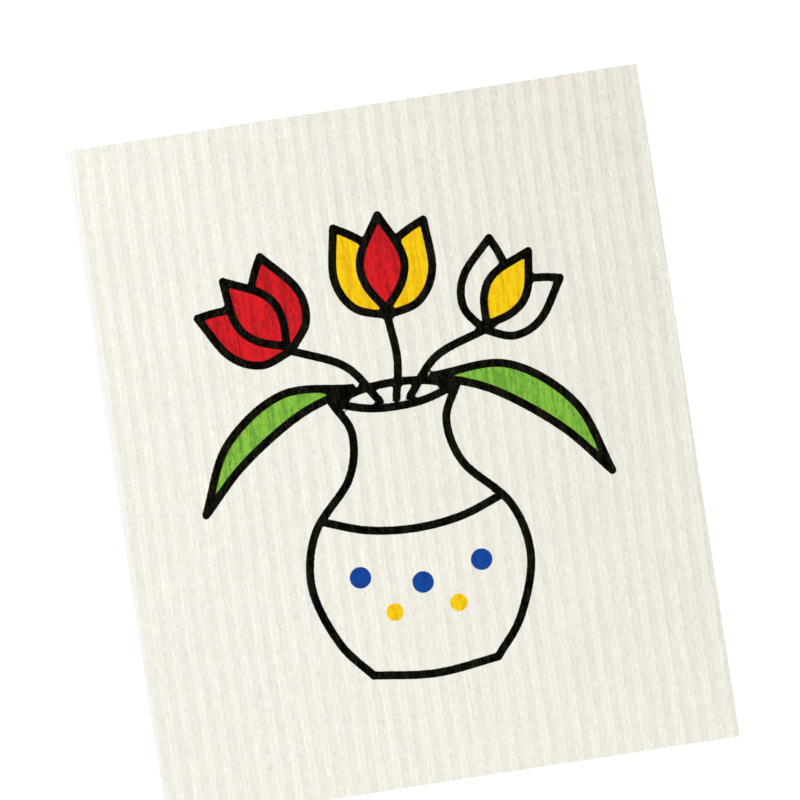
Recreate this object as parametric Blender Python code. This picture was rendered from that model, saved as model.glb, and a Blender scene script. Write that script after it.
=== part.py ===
"""A dish cloth: one die-cut sheet of ribbed sponge cloth, printed with a vase of tulips.

Metres, +Z up. The cloth lies flat and dry on its plain back, with its long side and its
ribs along Y and its printed front facing up. The origin is at the middle of its underside.
"""

import math

import bmesh
import bpy
from mathutils import Vector
from mathutils.geometry import delaunay_2d_cdt, interpolate_bezier

# The sheet
CLOTH_WIDTH = 0.170
CLOTH_LENGTH = 0.200
CLOTH_THICKNESS = 0.0018

# The ribs on the front, crest and groove, and the shallow grooves pressed in the back
RIB_PITCH = 0.00492
RIB_CREST_WIDTH = 0.00195
RIB_SLOPE_WIDTH = 0.0006
RIB_DEPTH = 0.00045
FIRST_RIB_FROM_EDGE = 0.0006
BACK_GROOVE_WIDTH = 0.0015
BACK_SLOPE_WIDTH = 0.0004
BACK_GROOVE_DEPTH = 0.0002
SLOPE_FACETS = 3
CUT_EDGE_ANGLE = math.radians(50)

# The print, which fills the space that its margins leave
PRINT_SIDE_MARGIN = 0.024
PRINT_END_MARGIN = 0.032
INK_LINE_WIDTH = 0.00245
INK_CURVE_STEP = 0.003
SPOT_CORNERS = 24
END_CORNERS = 5

# The print is drawn on a board of this size, in the board's own millimetres
BOARD_WIDTH = 122.0
BOARD_HEIGHT = 136.0
POINT_SNAP = 0.00002

CLOTH, BLACK, RED, YELLOW, GREEN, BLUE = range(6)
FINISHES = (
    ("Undyed sponge cloth", (0.871, 0.847, 0.760), 0.95),
    ("Black ink", (0.005, 0.005, 0.004), 0.85),
    ("Red ink", (0.665, 0.014, 0.020), 0.85),
    ("Yellow ink", (0.922, 0.591, 0.008), 0.85),
    ("Green ink", (0.238, 0.503, 0.051), 0.85),
    ("Blue ink", (0.012, 0.056, 0.296), 0.85),
)


def clear_scene():
    """Remove what the file opened with."""
    for existing in list(bpy.data.objects):
        bpy.data.objects.remove(existing, do_unlink=True)


def finish(name, colour, roughness):
    """A matt, non-metallic finish of one colour."""
    material = bpy.data.materials.new(name)
    material.use_nodes = True
    shader = material.node_tree.nodes["Principled BSDF"]
    shader.inputs["Base Color"].default_value = (*colour, 1.0)
    shader.inputs["Roughness"].default_value = roughness
    shader.inputs["Metallic"].default_value = 0.0
    material.diffuse_color = (*colour, 1.0)
    return material


def smooth_run(points):
    """A smooth curve through the points, as points a curve step apart."""
    knots = [Vector((x, y, 0.0)) for x, y in points]
    padded = [2 * knots[0] - knots[1], *knots, 2 * knots[-1] - knots[-2]]
    run = [knots[0]]
    for before, start, end, after in zip(padded, padded[1:], padded[2:], padded[3:]):
        steps = max(1, round((end - start).length / board_step()))
        handle_out = start + (end - before) / 6
        handle_in = end - (after - start) / 6
        run += interpolate_bezier(start, handle_out, handle_in, end, steps + 1)[1:]
    return [(p.x, p.y) for p in run]


def print_scale():
    """Metres of cloth for each millimetre of the board."""
    free_width = CLOTH_WIDTH - 2 * PRINT_SIDE_MARGIN
    free_length = CLOTH_LENGTH - 2 * PRINT_END_MARGIN
    return min(free_width / BOARD_WIDTH, free_length / BOARD_HEIGHT)


def board_step():
    """The spacing of points along a drawn curve, on the board."""
    return INK_CURVE_STEP / print_scale()


def mirrored(points):
    """The same points on the other side of the board's middle line."""
    return [(-x, y) for x, y in points]


def circle(centre, radius):
    """The outline of a round spot."""
    turns = [2 * math.pi * i / SPOT_CORNERS for i in range(SPOT_CORNERS)]
    return [(centre[0] + radius * math.cos(a), centre[1] + radius * math.sin(a)) for a in turns]


def placed(points, base, lean, size):
    """Points of a flower drawn upright and one unit tall, set on its stem."""
    cos, sin = math.cos(math.radians(lean)), math.sin(math.radians(lean))
    return [
        (base[0] + size * (x * cos - y * sin), base[1] + size * (x * sin + y * cos))
        for x, y in points
    ]


def vase():
    """The vase: its two sides, foot, open lip and the line round its belly, with five spots."""
    side = [(-18.5, 15), (-14, 5), (-17, -8), (-29, -22), (-32.5, -38), (-27, -55), (-18.5, -66)]
    foot = [(-18.5, -66), (0, -68), (18.5, -66)]
    front_lip = [(-18.5, 15), (-9, 12), (0, 11.2), (9, 12), (18.5, 15)]
    back_lip = [(-18.5, 15), (-9, 17.6), (0, 18.3), (9, 17.6), (18.5, 15)]
    belly_line = [(-27, -19), (-14, -23.5), (0, -25), (14, -23.5), (27, -19)]
    runs = (side, mirrored(side), foot, front_lip, back_lip, belly_line)
    lines = [smooth_run(run) for run in runs]
    fields = [(BLUE, circle(at, 3.2)) for at in ((-18, -37), (0, -41), (18, -37))]
    fields += [(YELLOW, circle(at, 2.6)) for at in ((-9.5, -48.5), (9.5, -48.5))]
    return lines, fields


def tulip(base, lean, size, petal_ink, heart_ink):
    """A tulip: a pointed heart petal between two side petals, drawn one unit tall."""
    heart_edge = [(0, 0.06), (-0.19, 0.34), (-0.21, 0.62), (0, 1.02)]
    outer_edge = [(0, 0), (-0.33, 0.11), (-0.5, 0.42), (-0.46, 0.93)]
    inner_edge = [(-0.46, 0.93), (-0.32, 0.86), (-0.16, 0.76)]
    lines, fields = [], []
    heart = smooth_run(placed(heart_edge, base, lean, size))
    heart += smooth_run(placed(mirrored(heart_edge)[::-1], base, lean, size))[1:]
    for side in (list, mirrored):
        outer = smooth_run(placed(side(outer_edge), base, lean, size))
        inner = smooth_run(placed(side(inner_edge), base, lean, size))
        lines += [outer, inner]
        fields.append((petal_ink, outer + inner[1:] + placed([(0, 0.3)], base, lean, size)))
    lines.append(heart)
    fields.append((heart_ink, heart))
    return lines, fields


def leaf(root, tip, bow, fullness):
    """A drooping leaf: two edges bowed to one side of the straight line from root to tip."""
    along = Vector(tip) - Vector(root)
    across = Vector((-along.y, along.x)).normalized() * (1 if bow > 0 else -1)
    edges = []
    for rise in (abs(bow) + fullness, abs(bow) - fullness):
        near = Vector(root) + 0.3 * along + 0.9 * rise * across
        far = Vector(root) + 0.68 * along + 0.85 * rise * across
        edges.append(smooth_run([root, tuple(near), tuple(far), tip]))
    return edges, [(GREEN, edges[0] + edges[1][::-1])]


def stems():
    """The three stems, from inside the lip to the flowers."""
    runs = (
        [(-4.5, 13.5), (-13, 25), (-28, 32)],
        [(0.5, 13.5), (2.5, 25), (1.5, 38)],
        [(4.5, 13.5), (14, 24), (29, 29.5)],
    )
    return [smooth_run(run) for run in runs]


def drawing():
    """Every ink line and colour field of the print, on the board."""
    lines, fields = vase()
    motifs = (
        tulip((-28, 32), 36, 28, RED, RED),
        tulip((1.5, 38), -3, 29, YELLOW, RED),
        tulip((29, 29.5), -38, 26, CLOTH, YELLOW),
        leaf((-12, 18.5), (-60, -12), -9, 4.4),
        leaf((12, 18.5), (60, -17), 10, 4.8),
    )
    for motif_lines, motif_fields in motifs:
        lines += motif_lines
        fields += motif_fields
    return lines + stems(), fields


def on_cloth(points):
    """Board points as metres on the cloth, about its middle."""
    scale = print_scale()
    return [(x * scale, y * scale) for x, y in points]


def line_sides(line, half_width):
    """The outline of an ink line: both sides of its path and, on an open one, its round ends."""
    path = [Vector(point) for point in line]
    closed = (path[0] - path[-1]).length < POINT_SNAP
    befores = [path[-2] if closed else path[0], *path[:-1]]
    afters = [*path[1:], path[1] if closed else path[-1]]
    left, right = [], []
    for before, point, after in zip(befores, path, afters):
        along = (after - before).normalized()
        across = Vector((-along.y, along.x)) * half_width
        left.append(tuple(point + across))
        right.append(tuple(point - across))
    if closed:
        return [left, right]
    far_end = round_end(path[-1], path[-2], half_width)
    near_end = round_end(path[0], path[1], half_width)
    return [left + far_end + right[::-1] + near_end + left[:1]]


def round_end(end, inner, radius):
    """The half circle round the end of a line, between its two sides."""
    along = (end - inner).normalized()
    start = math.atan2(along.y, along.x) + math.pi / 2
    turns = [start - math.pi * i / END_CORNERS for i in range(1, END_CORNERS)]
    return [(end.x + radius * math.cos(a), end.y + radius * math.sin(a)) for a in turns]


def distance_to_line(point, line):
    """The distance from a point to a path of straight pieces."""
    nearest = math.inf
    for (ax, ay), (bx, by) in zip(line, line[1:]):
        run_x, run_y = bx - ax, by - ay
        share = ((point.x - ax) * run_x + (point.y - ay) * run_y) / (run_x**2 + run_y**2)
        share = min(1.0, max(0.0, share))
        nearest = min(nearest, math.hypot(point.x - ax - share * run_x, point.y - ay - share * run_y))
    return nearest


def inside(point, outline):
    """Whether a point is inside a closed outline."""
    crossings = 0
    for (ax, ay), (bx, by) in zip(outline, outline[1:] + outline[:1]):
        if (ay > point.y) != (by > point.y):
            crossings += point.x < ax + (point.y - ay) * (bx - ax) / (by - ay)
    return crossings % 2 == 1


def ink_at(point, lines, fields):
    """The finish at a point of the front: a black line, a colour field or bare cloth."""
    half_width = INK_LINE_WIDTH / 2
    for line, (low_x, high_x, low_y, high_y) in lines:
        if low_x < point.x < high_x and low_y < point.y < high_y:
            if distance_to_line(point, line) < half_width:
                return BLACK
    for ink, outline in reversed(fields):
        if inside(point, outline):
            return ink
    return CLOTH


def reach(line, margin):
    """The box that a line's ink lies in."""
    xs, ys = [x for x, _ in line], [y for _, y in line]
    return min(xs) - margin, max(xs) + margin, min(ys) - margin, max(ys) + margin


def eased_slope(start, width, rise):
    """The corners of one slope between two levels, rounded over at its top and foot."""
    shares = [i / SLOPE_FACETS for i in range(SLOPE_FACETS + 1)]
    return [(start + width * s, rise * s * s * (3 - 2 * s)) for s in shares]


def rib_profile(crest_width, slope_width, depth):
    """The section across the ribs, as places from edge to edge with the drop below the crests."""
    edge = CLOTH_WIDTH / 2
    count = math.ceil((CLOTH_WIDTH - FIRST_RIB_FROM_EDGE) / RIB_PITCH) + 1
    corners = []
    for i in range(-1, count + 1):
        crest_start = FIRST_RIB_FROM_EDGE - edge + i * RIB_PITCH - crest_width / 2
        up = eased_slope(crest_start - slope_width, slope_width, depth)
        down = eased_slope(crest_start + crest_width, slope_width, depth)
        corners += [(x, depth - rise) for x, rise in up] + down
    ends = [(x, height_at(x, corners)) for x in (-edge, edge)]
    between = [(x, drop) for x, drop in corners if abs(x) < edge - POINT_SNAP]
    return [ends[0], *between, ends[1]]


def height_at(x, profile):
    """The height of a profile of straight pieces."""
    for (ax, az), (bx, bz) in zip(profile, profile[1:]):
        if ax <= x <= bx:
            return az + (bz - az) * (x - ax) / (bx - ax)
    return profile[0][1] if x < profile[0][0] else profile[-1][1]


def snapped(x, places):
    """A place across the cloth, moved onto the corner of a rib where it all but lies there."""
    nearest = min(places, key=lambda place: abs(place - x))
    return nearest if abs(nearest - x) < POINT_SNAP else x


def front_plan(places, lines, fields):
    """The printed front cut flat along its ribs and its ink edges, as points and triangles."""
    end = CLOTH_LENGTH / 2
    points, edges = [], []
    for x in places:
        edges.append((len(points), len(points) + 1))
        points += [Vector((x, -end)), Vector((x, end))]
    last = len(points) - 2
    edges += [(0, last), (1, last + 1)]
    outlines = [side for line, _ in lines for side in line_sides(line, INK_LINE_WIDTH / 2)]
    outlines += [field + field[:1] for _, field in fields if free_standing(field, lines)]
    for outline in outlines:
        first = len(points)
        points += [Vector(point) for point in outline]
        edges += [(first + i, first + i + 1) for i in range(len(outline) - 1)]
    found = delaunay_2d_cdt(points, edges, [], 0, POINT_SNAP)
    return found[0], found[2]


def free_standing(field, lines):
    """Whether a colour field has no black line round it."""
    edge = Vector(field[0])
    return all(distance_to_line(edge, line) > INK_LINE_WIDTH / 2 for line, _ in lines)


def printed_front(sheet):
    """The ribbed front, with a finish for each of its faces."""
    lines, fields = drawing()
    lines = [on_cloth(line) for line in lines]
    lines = [(line, reach(line, INK_LINE_WIDTH / 2)) for line in lines]
    fields = [(ink, on_cloth(field)) for ink, field in fields]
    drops = rib_profile(RIB_CREST_WIDTH, RIB_SLOPE_WIDTH, RIB_DEPTH)
    places = [x for x, _ in drops]
    plan, triangles = front_plan(places, lines, fields)
    verts = []
    for point in plan:
        x = snapped(point.x, places)
        verts.append(sheet.verts.new((x, point.y, CLOTH_THICKNESS - height_at(x, drops))))
    for triangle in triangles:
        face = sheet.faces.new([verts[i] for i in triangle])
        face.material_index = ink_at(face.calc_center_median(), lines, fields)
    rims = []
    for end in (-CLOTH_LENGTH / 2, CLOTH_LENGTH / 2):
        rim = [vert for vert in verts if abs(vert.co.y - end) < POINT_SNAP]
        rims.append(sorted(rim, key=lambda vert: vert.co.x))
    return rims


def grooved_back(sheet):
    """The plain back, its lands on the surface that the cloth lies on."""
    land_width = RIB_PITCH - BACK_GROOVE_WIDTH - 2 * BACK_SLOPE_WIDTH
    rises = rib_profile(land_width, BACK_SLOPE_WIDTH, BACK_GROOVE_DEPTH)
    ends = (-CLOTH_LENGTH / 2, CLOTH_LENGTH / 2)
    rims = [[sheet.verts.new((x, end, rise)) for x, rise in rises] for end in ends]
    near, far = rims
    for i in range(len(rises) - 1):
        sheet.faces.new([near[i], far[i], far[i + 1], near[i + 1]])
    return rims


def cut_edges(sheet, front_rims, back_rims):
    """The four die-cut edges, straight down from front to back."""
    for front, back in zip(front_rims, back_rims):
        sheet.faces.new(front + back[::-1])
    for i in (0, -1):
        corners = [rim[i] for rim in (*front_rims, *back_rims[::-1])]
        sheet.faces.new(corners)


def dish_cloth(materials):
    """The whole cloth as one closed solid."""
    sheet = bmesh.new()
    cut_edges(sheet, printed_front(sheet), grooved_back(sheet))
    bmesh.ops.recalc_face_normals(sheet, faces=sheet.faces)
    mesh = bpy.data.meshes.new("dish_cloth")
    sheet.to_mesh(mesh)
    sheet.free()
    mesh.shade_smooth()
    mesh.set_sharp_from_angle(angle=CUT_EDGE_ANGLE)
    for material in materials:
        mesh.materials.append(material)
    cloth = bpy.data.objects.new("dish_cloth", mesh)
    bpy.context.scene.collection.objects.link(cloth)
    return cloth


clear_scene()
dish_cloth([finish(*values) for values in FINISHES])
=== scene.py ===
"""A dry, ribbed sponge dish cloth, printed with a vase of tulips, lying on a pale studio floor.

The cloth's width, length and thickness come from the frame. Sizes in this file are in
millimetres unless a name says otherwise, with X across the ribs, Y along them and Z up.
"""

import logging
import math
from collections.abc import Sequence
from dataclasses import dataclass, field
from enum import Enum

import bpy
import numpy as np
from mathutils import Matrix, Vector


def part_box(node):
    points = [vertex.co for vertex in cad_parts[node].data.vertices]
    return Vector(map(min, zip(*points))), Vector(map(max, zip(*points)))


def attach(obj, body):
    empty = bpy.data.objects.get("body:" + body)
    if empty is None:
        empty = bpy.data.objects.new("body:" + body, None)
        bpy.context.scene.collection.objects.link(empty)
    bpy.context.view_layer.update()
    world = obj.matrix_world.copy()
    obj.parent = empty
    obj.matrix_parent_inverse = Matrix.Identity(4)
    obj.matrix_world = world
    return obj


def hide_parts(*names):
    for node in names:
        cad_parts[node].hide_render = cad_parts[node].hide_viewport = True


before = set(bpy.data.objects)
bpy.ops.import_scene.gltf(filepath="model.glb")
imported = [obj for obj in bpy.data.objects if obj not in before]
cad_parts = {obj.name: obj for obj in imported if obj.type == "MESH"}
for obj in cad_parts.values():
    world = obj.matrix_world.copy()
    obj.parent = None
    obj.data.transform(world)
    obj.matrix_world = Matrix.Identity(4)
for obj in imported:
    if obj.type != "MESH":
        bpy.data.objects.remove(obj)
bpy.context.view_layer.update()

LOG = logging.getLogger("dish_cloth")
MM = 0.001
CLOTH_NODE = "dish_cloth"

Array = np.ndarray
Point = tuple[float, float]
Path = list[Point]
Span = tuple[float, float]
Triple = tuple[float, float, float]
Colour = Triple


def srgb(red: int, green: int, blue: int) -> Colour:
    """Turn a colour as it looks on a screen into the linear one that a shader takes.

    Args:
        red: The red part, from 0 to 255.
        green: The green part, from 0 to 255.
        blue: The blue part, from 0 to 255.

    Returns:
        The linear colour, each part from 0 to 1.
    """
    parts = (part / 255 for part in (red, green, blue))
    return tuple(p / 12.92 if p <= 0.04045 else ((p + 0.055) / 1.055) ** 2.4 for p in parts)


def eased(share: Array) -> Array:
    """Round over a rise from 0 to 1, clipped to it, at its foot and its top."""
    held = np.clip(share, 0.0, 1.0)
    return held * held * (3 - 2 * held)


def mirrored(points: Sequence[Point]) -> Path:
    """Return points on the other side of the print's middle line."""
    return [(-x, y) for x, y in points]


def in_scene(name: str, data: bpy.types.ID) -> bpy.types.Object:
    """Make an object of a mesh, a curve, a lamp or a camera, and put it in the scene.

    Args:
        name: Its name.
        data: The mesh, curve, lamp or camera.

    Returns:
        The object.
    """
    piece = bpy.data.objects.new(name, data)
    bpy.context.scene.collection.objects.link(piece)
    return piece


@dataclass(frozen=True)
class SmoothNoise:
    """Seeded noise that changes smoothly, with a grain of its own each way, about 0."""

    seed: int
    across: float
    along: float
    height: float = 1.0
    table_side: int = 256

    def __call__(self, x: Array, y: Array) -> Array:
        """Read the noise.

        Args:
            x: Places across the ribs.
            y: Places along the ribs.

        Returns:
            The noise at each place, up to its height above or below 0.
        """
        table = np.random.default_rng(self.seed).uniform(-1, 1, (self.table_side,) * 2)
        u, v = np.asarray(x) / self.across, np.asarray(y) / self.along
        i, j = np.floor(u).astype(int), np.floor(v).astype(int)
        share_u, share_v = eased(u - i), eased(v - j)

        def corner(di: int, dj: int) -> Array:
            """Read the table at one corner of each place's cell."""
            return table[(i + di) % self.table_side, (j + dj) % self.table_side]

        near = corner(0, 0) * (1 - share_u) + corner(1, 0) * share_u
        far = corner(0, 1) * (1 - share_u) + corner(1, 1) * share_u
        return self.height * (near * (1 - share_v) + far * share_v)


@dataclass(frozen=True)
class Pattern:
    """A shader's noise, and how much it counts in what it is used for.

    Attributes:
        grains: How many grains it has in each unit of a place, along X, Y and Z.
        detail: How many finer layers it has.
        roughness: How much those count.
        levels: The noise's levels at which its marks start to show and are full.
        share: How much of its marks shows where they are full.
        tone: How much lighter it makes the bare cloth where it is at 1.
        pooling: How much more of an ink pools where it is at 1.
        bump: How high it stands in the surface's bumps.
    """

    grains: Triple
    detail: float = 2.0
    roughness: float = 0.5
    levels: Span = (0.0, 1.0)
    share: float = 1.0
    tone: float = 0.0
    pooling: float = 0.0
    bump: float = 0.0


class Signal:
    """A shader node's output, on which arithmetic can be written."""

    def __init__(self, tree: bpy.types.NodeTree, socket: bpy.types.NodeSocket | None) -> None:
        """Wrap a socket of a node tree."""
        self.tree, self.socket = tree, socket

    def maths(self, operation: str, *operands: "Signal | float") -> "Signal":
        """Add one Math node.

        Args:
            operation: The Math node's operation.
            operands: What goes into its sockets, in order.

        Returns:
            The node's result.
        """
        node = self.tree.nodes.new("ShaderNodeMath")
        node.operation = operation
        for socket, operand in zip(node.inputs, operands):
            if isinstance(operand, Signal):
                self.tree.links.new(operand.socket, socket)
            else:
                socket.default_value = operand
        return Signal(self.tree, node.outputs[0])

    def __add__(self, other: "Signal | float") -> "Signal":
        """Return self + other."""
        return self.maths("ADD", self, other)

    def __radd__(self, other: "Signal | float") -> "Signal":
        """Return other + self."""
        return self.maths("ADD", other, self)

    def __sub__(self, other: "Signal | float") -> "Signal":
        """Return self - other."""
        return self.maths("SUBTRACT", self, other)

    def __rsub__(self, other: "Signal | float") -> "Signal":
        """Return other - self."""
        return self.maths("SUBTRACT", other, self)

    def __mul__(self, other: "Signal | float") -> "Signal":
        """Return self * other."""
        return self.maths("MULTIPLY", self, other)

    def __rmul__(self, other: "Signal | float") -> "Signal":
        """Return other * self."""
        return self.maths("MULTIPLY", other, self)

    def larger(self, other: "Signal | float") -> "Signal":
        """Return the larger of self and other."""
        return self.maths("MAXIMUM", self, other)


class Board:
    """The emptied node tree of a material or a world, with short ways to add nodes to it."""

    def __init__(self, owner: bpy.types.Material | bpy.types.World) -> None:
        """Start with an empty tree.

        Args:
            owner: The material or the world.
        """
        owner.use_nodes = True
        self.owner, self.tree = owner, owner.node_tree
        self.tree.nodes.clear()

    def add(self, kind: str, settings: dict | None = None, sockets: dict | None = None,
            output: str | int = 0) -> Signal:
        """Add any node.

        Args:
            kind: The node's type.
            settings: Its properties, which are set first.
            sockets: The value or the Signal for each input, by its name, identifier or index.
            output: The output wanted, by its name, identifier or index.

        Returns:
            That output. It has no socket where the node ends the tree.
        """
        node = self.tree.nodes.new(kind)
        for key, value in (settings or {}).items():
            setattr(node, key, value)
        for key, value in (sockets or {}).items():
            socket = self.find(node.inputs, key)
            if isinstance(value, Signal):
                self.tree.links.new(value.socket, socket)
            elif isinstance(value, tuple) and socket.type == "RGBA":
                socket.default_value = (*value, 1.0)
            else:
                socket.default_value = value
        return Signal(self.tree, self.find(node.outputs, output) if node.outputs else None)

    @staticmethod
    def find(sockets: bpy.types.bpy_prop_collection, key: str | int) -> bpy.types.NodeSocket:
        """Find a socket by its index, identifier or name.

        Args:
            sockets: A node's inputs or its outputs.
            key: The index, identifier or name.

        Returns:
            The socket.
        """
        if isinstance(key, int):
            return sockets[key]
        return next((s for s in sockets if s.identifier == key), None) or sockets[key]

    def kept(self, number: Enum) -> Signal:
        """Read a number that the mesh keeps."""
        return self.add("ShaderNodeAttribute", {"attribute_name": number.value}, output="Fac")

    def metres(self) -> Signal:
        """Read where a point of the piece is, in metres."""
        return self.add("ShaderNodeTexCoord", output="Object")

    def millimetres(self) -> Signal:
        """Read where a point of the piece is, in millimetres."""
        return self.stretched(self.metres(), (1 / MM,) * 3)

    def axis(self, place: Signal, name: str) -> Signal:
        """Read one axis of a place."""
        return self.add("ShaderNodeSeparateXYZ", {}, {0: place}, name)

    def stretched(self, place: Signal, factors: Triple) -> Signal:
        """Scale a place by a factor along each axis."""
        return self.add("ShaderNodeVectorMath", {"operation": "MULTIPLY"},
                        {0: place, 1: factors})

    def noise(self, place: Signal, pattern: Pattern) -> Signal:
        """Add a pattern's noise, from about -1 to 1.

        Args:
            place: Where, in millimetres or in metres.
            pattern: The pattern.

        Returns:
            The noise.
        """
        sockets = {"Vector": self.stretched(place, pattern.grains), "Scale": 1.0,
                   "Detail": pattern.detail, "Roughness": pattern.roughness}
        return self.add("ShaderNodeTexNoise", {}, sockets, "Fac") * 2.0 - 1.0

    def marks(self, place: Signal, pattern: Pattern) -> Signal:
        """Add a pattern's marks, from 0 beside them to the pattern's share where they are full."""
        return self.ramp(self.noise(place, pattern), pattern.levels) * pattern.share

    def strands(self, place: Signal, pattern: Pattern) -> Signal:
        """Split places into a pattern's cells, each with a tone of its own from about -1 to 1.

        Args:
            place: Where, in millimetres or in metres.
            pattern: The pattern.

        Returns:
            The tones.
        """
        sockets = {"Vector": self.stretched(place, pattern.grains), "Scale": 1.0}
        cells = self.add("ShaderNodeTexVoronoi", {"feature": "F1"}, sockets, "Color")
        return cells * 2.0 - 1.0

    def ramp(self, value: Signal, levels: Span) -> Signal:
        """Rise smoothly from 0 where a value is at the first level to 1 where at the second."""
        sockets = {"Value": value, "From Min": levels[0], "From Max": levels[1]}
        return self.add("ShaderNodeMapRange", {"interpolation_type": "SMOOTHSTEP"}, sockets)

    def mix(self, share: "Signal | float", base: "Signal | Colour",
            top: "Signal | Colour") -> Signal:
        """Lay one colour over another.

        Args:
            share: How much of the top colour shows, from 0 to 1.
            base: The colour below.
            top: The colour above.

        Returns:
            The mixed colour.
        """
        sockets = {"Factor_Float": share, "A_Color": base, "B_Color": top}
        return self.add("ShaderNodeMix", {"data_type": "RGBA"}, sockets, "Result_Color")

    def scaled(self, colour: Signal, factor: Signal) -> Signal:
        """Make a colour lighter or darker by a factor."""
        sockets = {0: colour, "Scale": factor}
        return self.add("ShaderNodeVectorMath", {"operation": "SCALE"}, sockets)

    def finish(self, shader: Signal) -> bpy.types.Material | bpy.types.World:
        """End the tree with a shader and return the material or the world.

        Args:
            shader: The shader.

        Returns:
            The material or the world that the tree belongs to.
        """
        is_world = isinstance(self.owner, bpy.types.World)
        kind = "ShaderNodeOutputWorld" if is_world else "ShaderNodeOutputMaterial"
        self.add(kind, {}, {"Surface": shader})
        return self.owner


class Ink(Enum):
    """The inks of the print, in the order that they are laid, by the mesh's name for each."""

    GREEN = "green_ink_depth"
    YELLOW = "yellow_ink_depth"
    RED = "red_ink_depth"
    BLUE = "blue_ink_depth"
    BLACK = "black_ink_depth"


class Relief(Enum):
    """The other numbers that the mesh keeps for its finish, by their names there."""

    BEYOND_CREST = "beyond_crest"
    RIB_SIDE = "rib_side"
    CUT = "cut"
    PALE = "pale"


Drawing = tuple[list[Path], list[tuple[Ink | None, Path]]]


@dataclass(frozen=True)
class InkFinish:
    """How one ink looks once it has dried in the cloth."""

    ink: Ink
    full: Colour
    streak: Colour
    fleck: Colour
    streak_share: float
    fleck_share: float


INK_FINISHES = (
    InkFinish(Ink.GREEN, srgb(142, 197, 68), srgb(94, 156, 57), srgb(46, 112, 74), 0.85, 1.0),
    InkFinish(Ink.YELLOW, srgb(254, 214, 26), srgb(236, 180, 22), srgb(180, 130, 34), 0.85, 0.55),
    InkFinish(Ink.RED, srgb(223, 34, 40), srgb(172, 27, 35), srgb(96, 16, 24), 0.9, 0.75),
    InkFinish(Ink.BLUE, srgb(18, 77, 163), srgb(34, 56, 134), srgb(76, 56, 116), 0.8, 0.8),
    InkFinish(Ink.BLACK, srgb(4, 3, 2), srgb(29, 27, 20), srgb(64, 60, 51), 0.8, 0.8),
)


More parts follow.
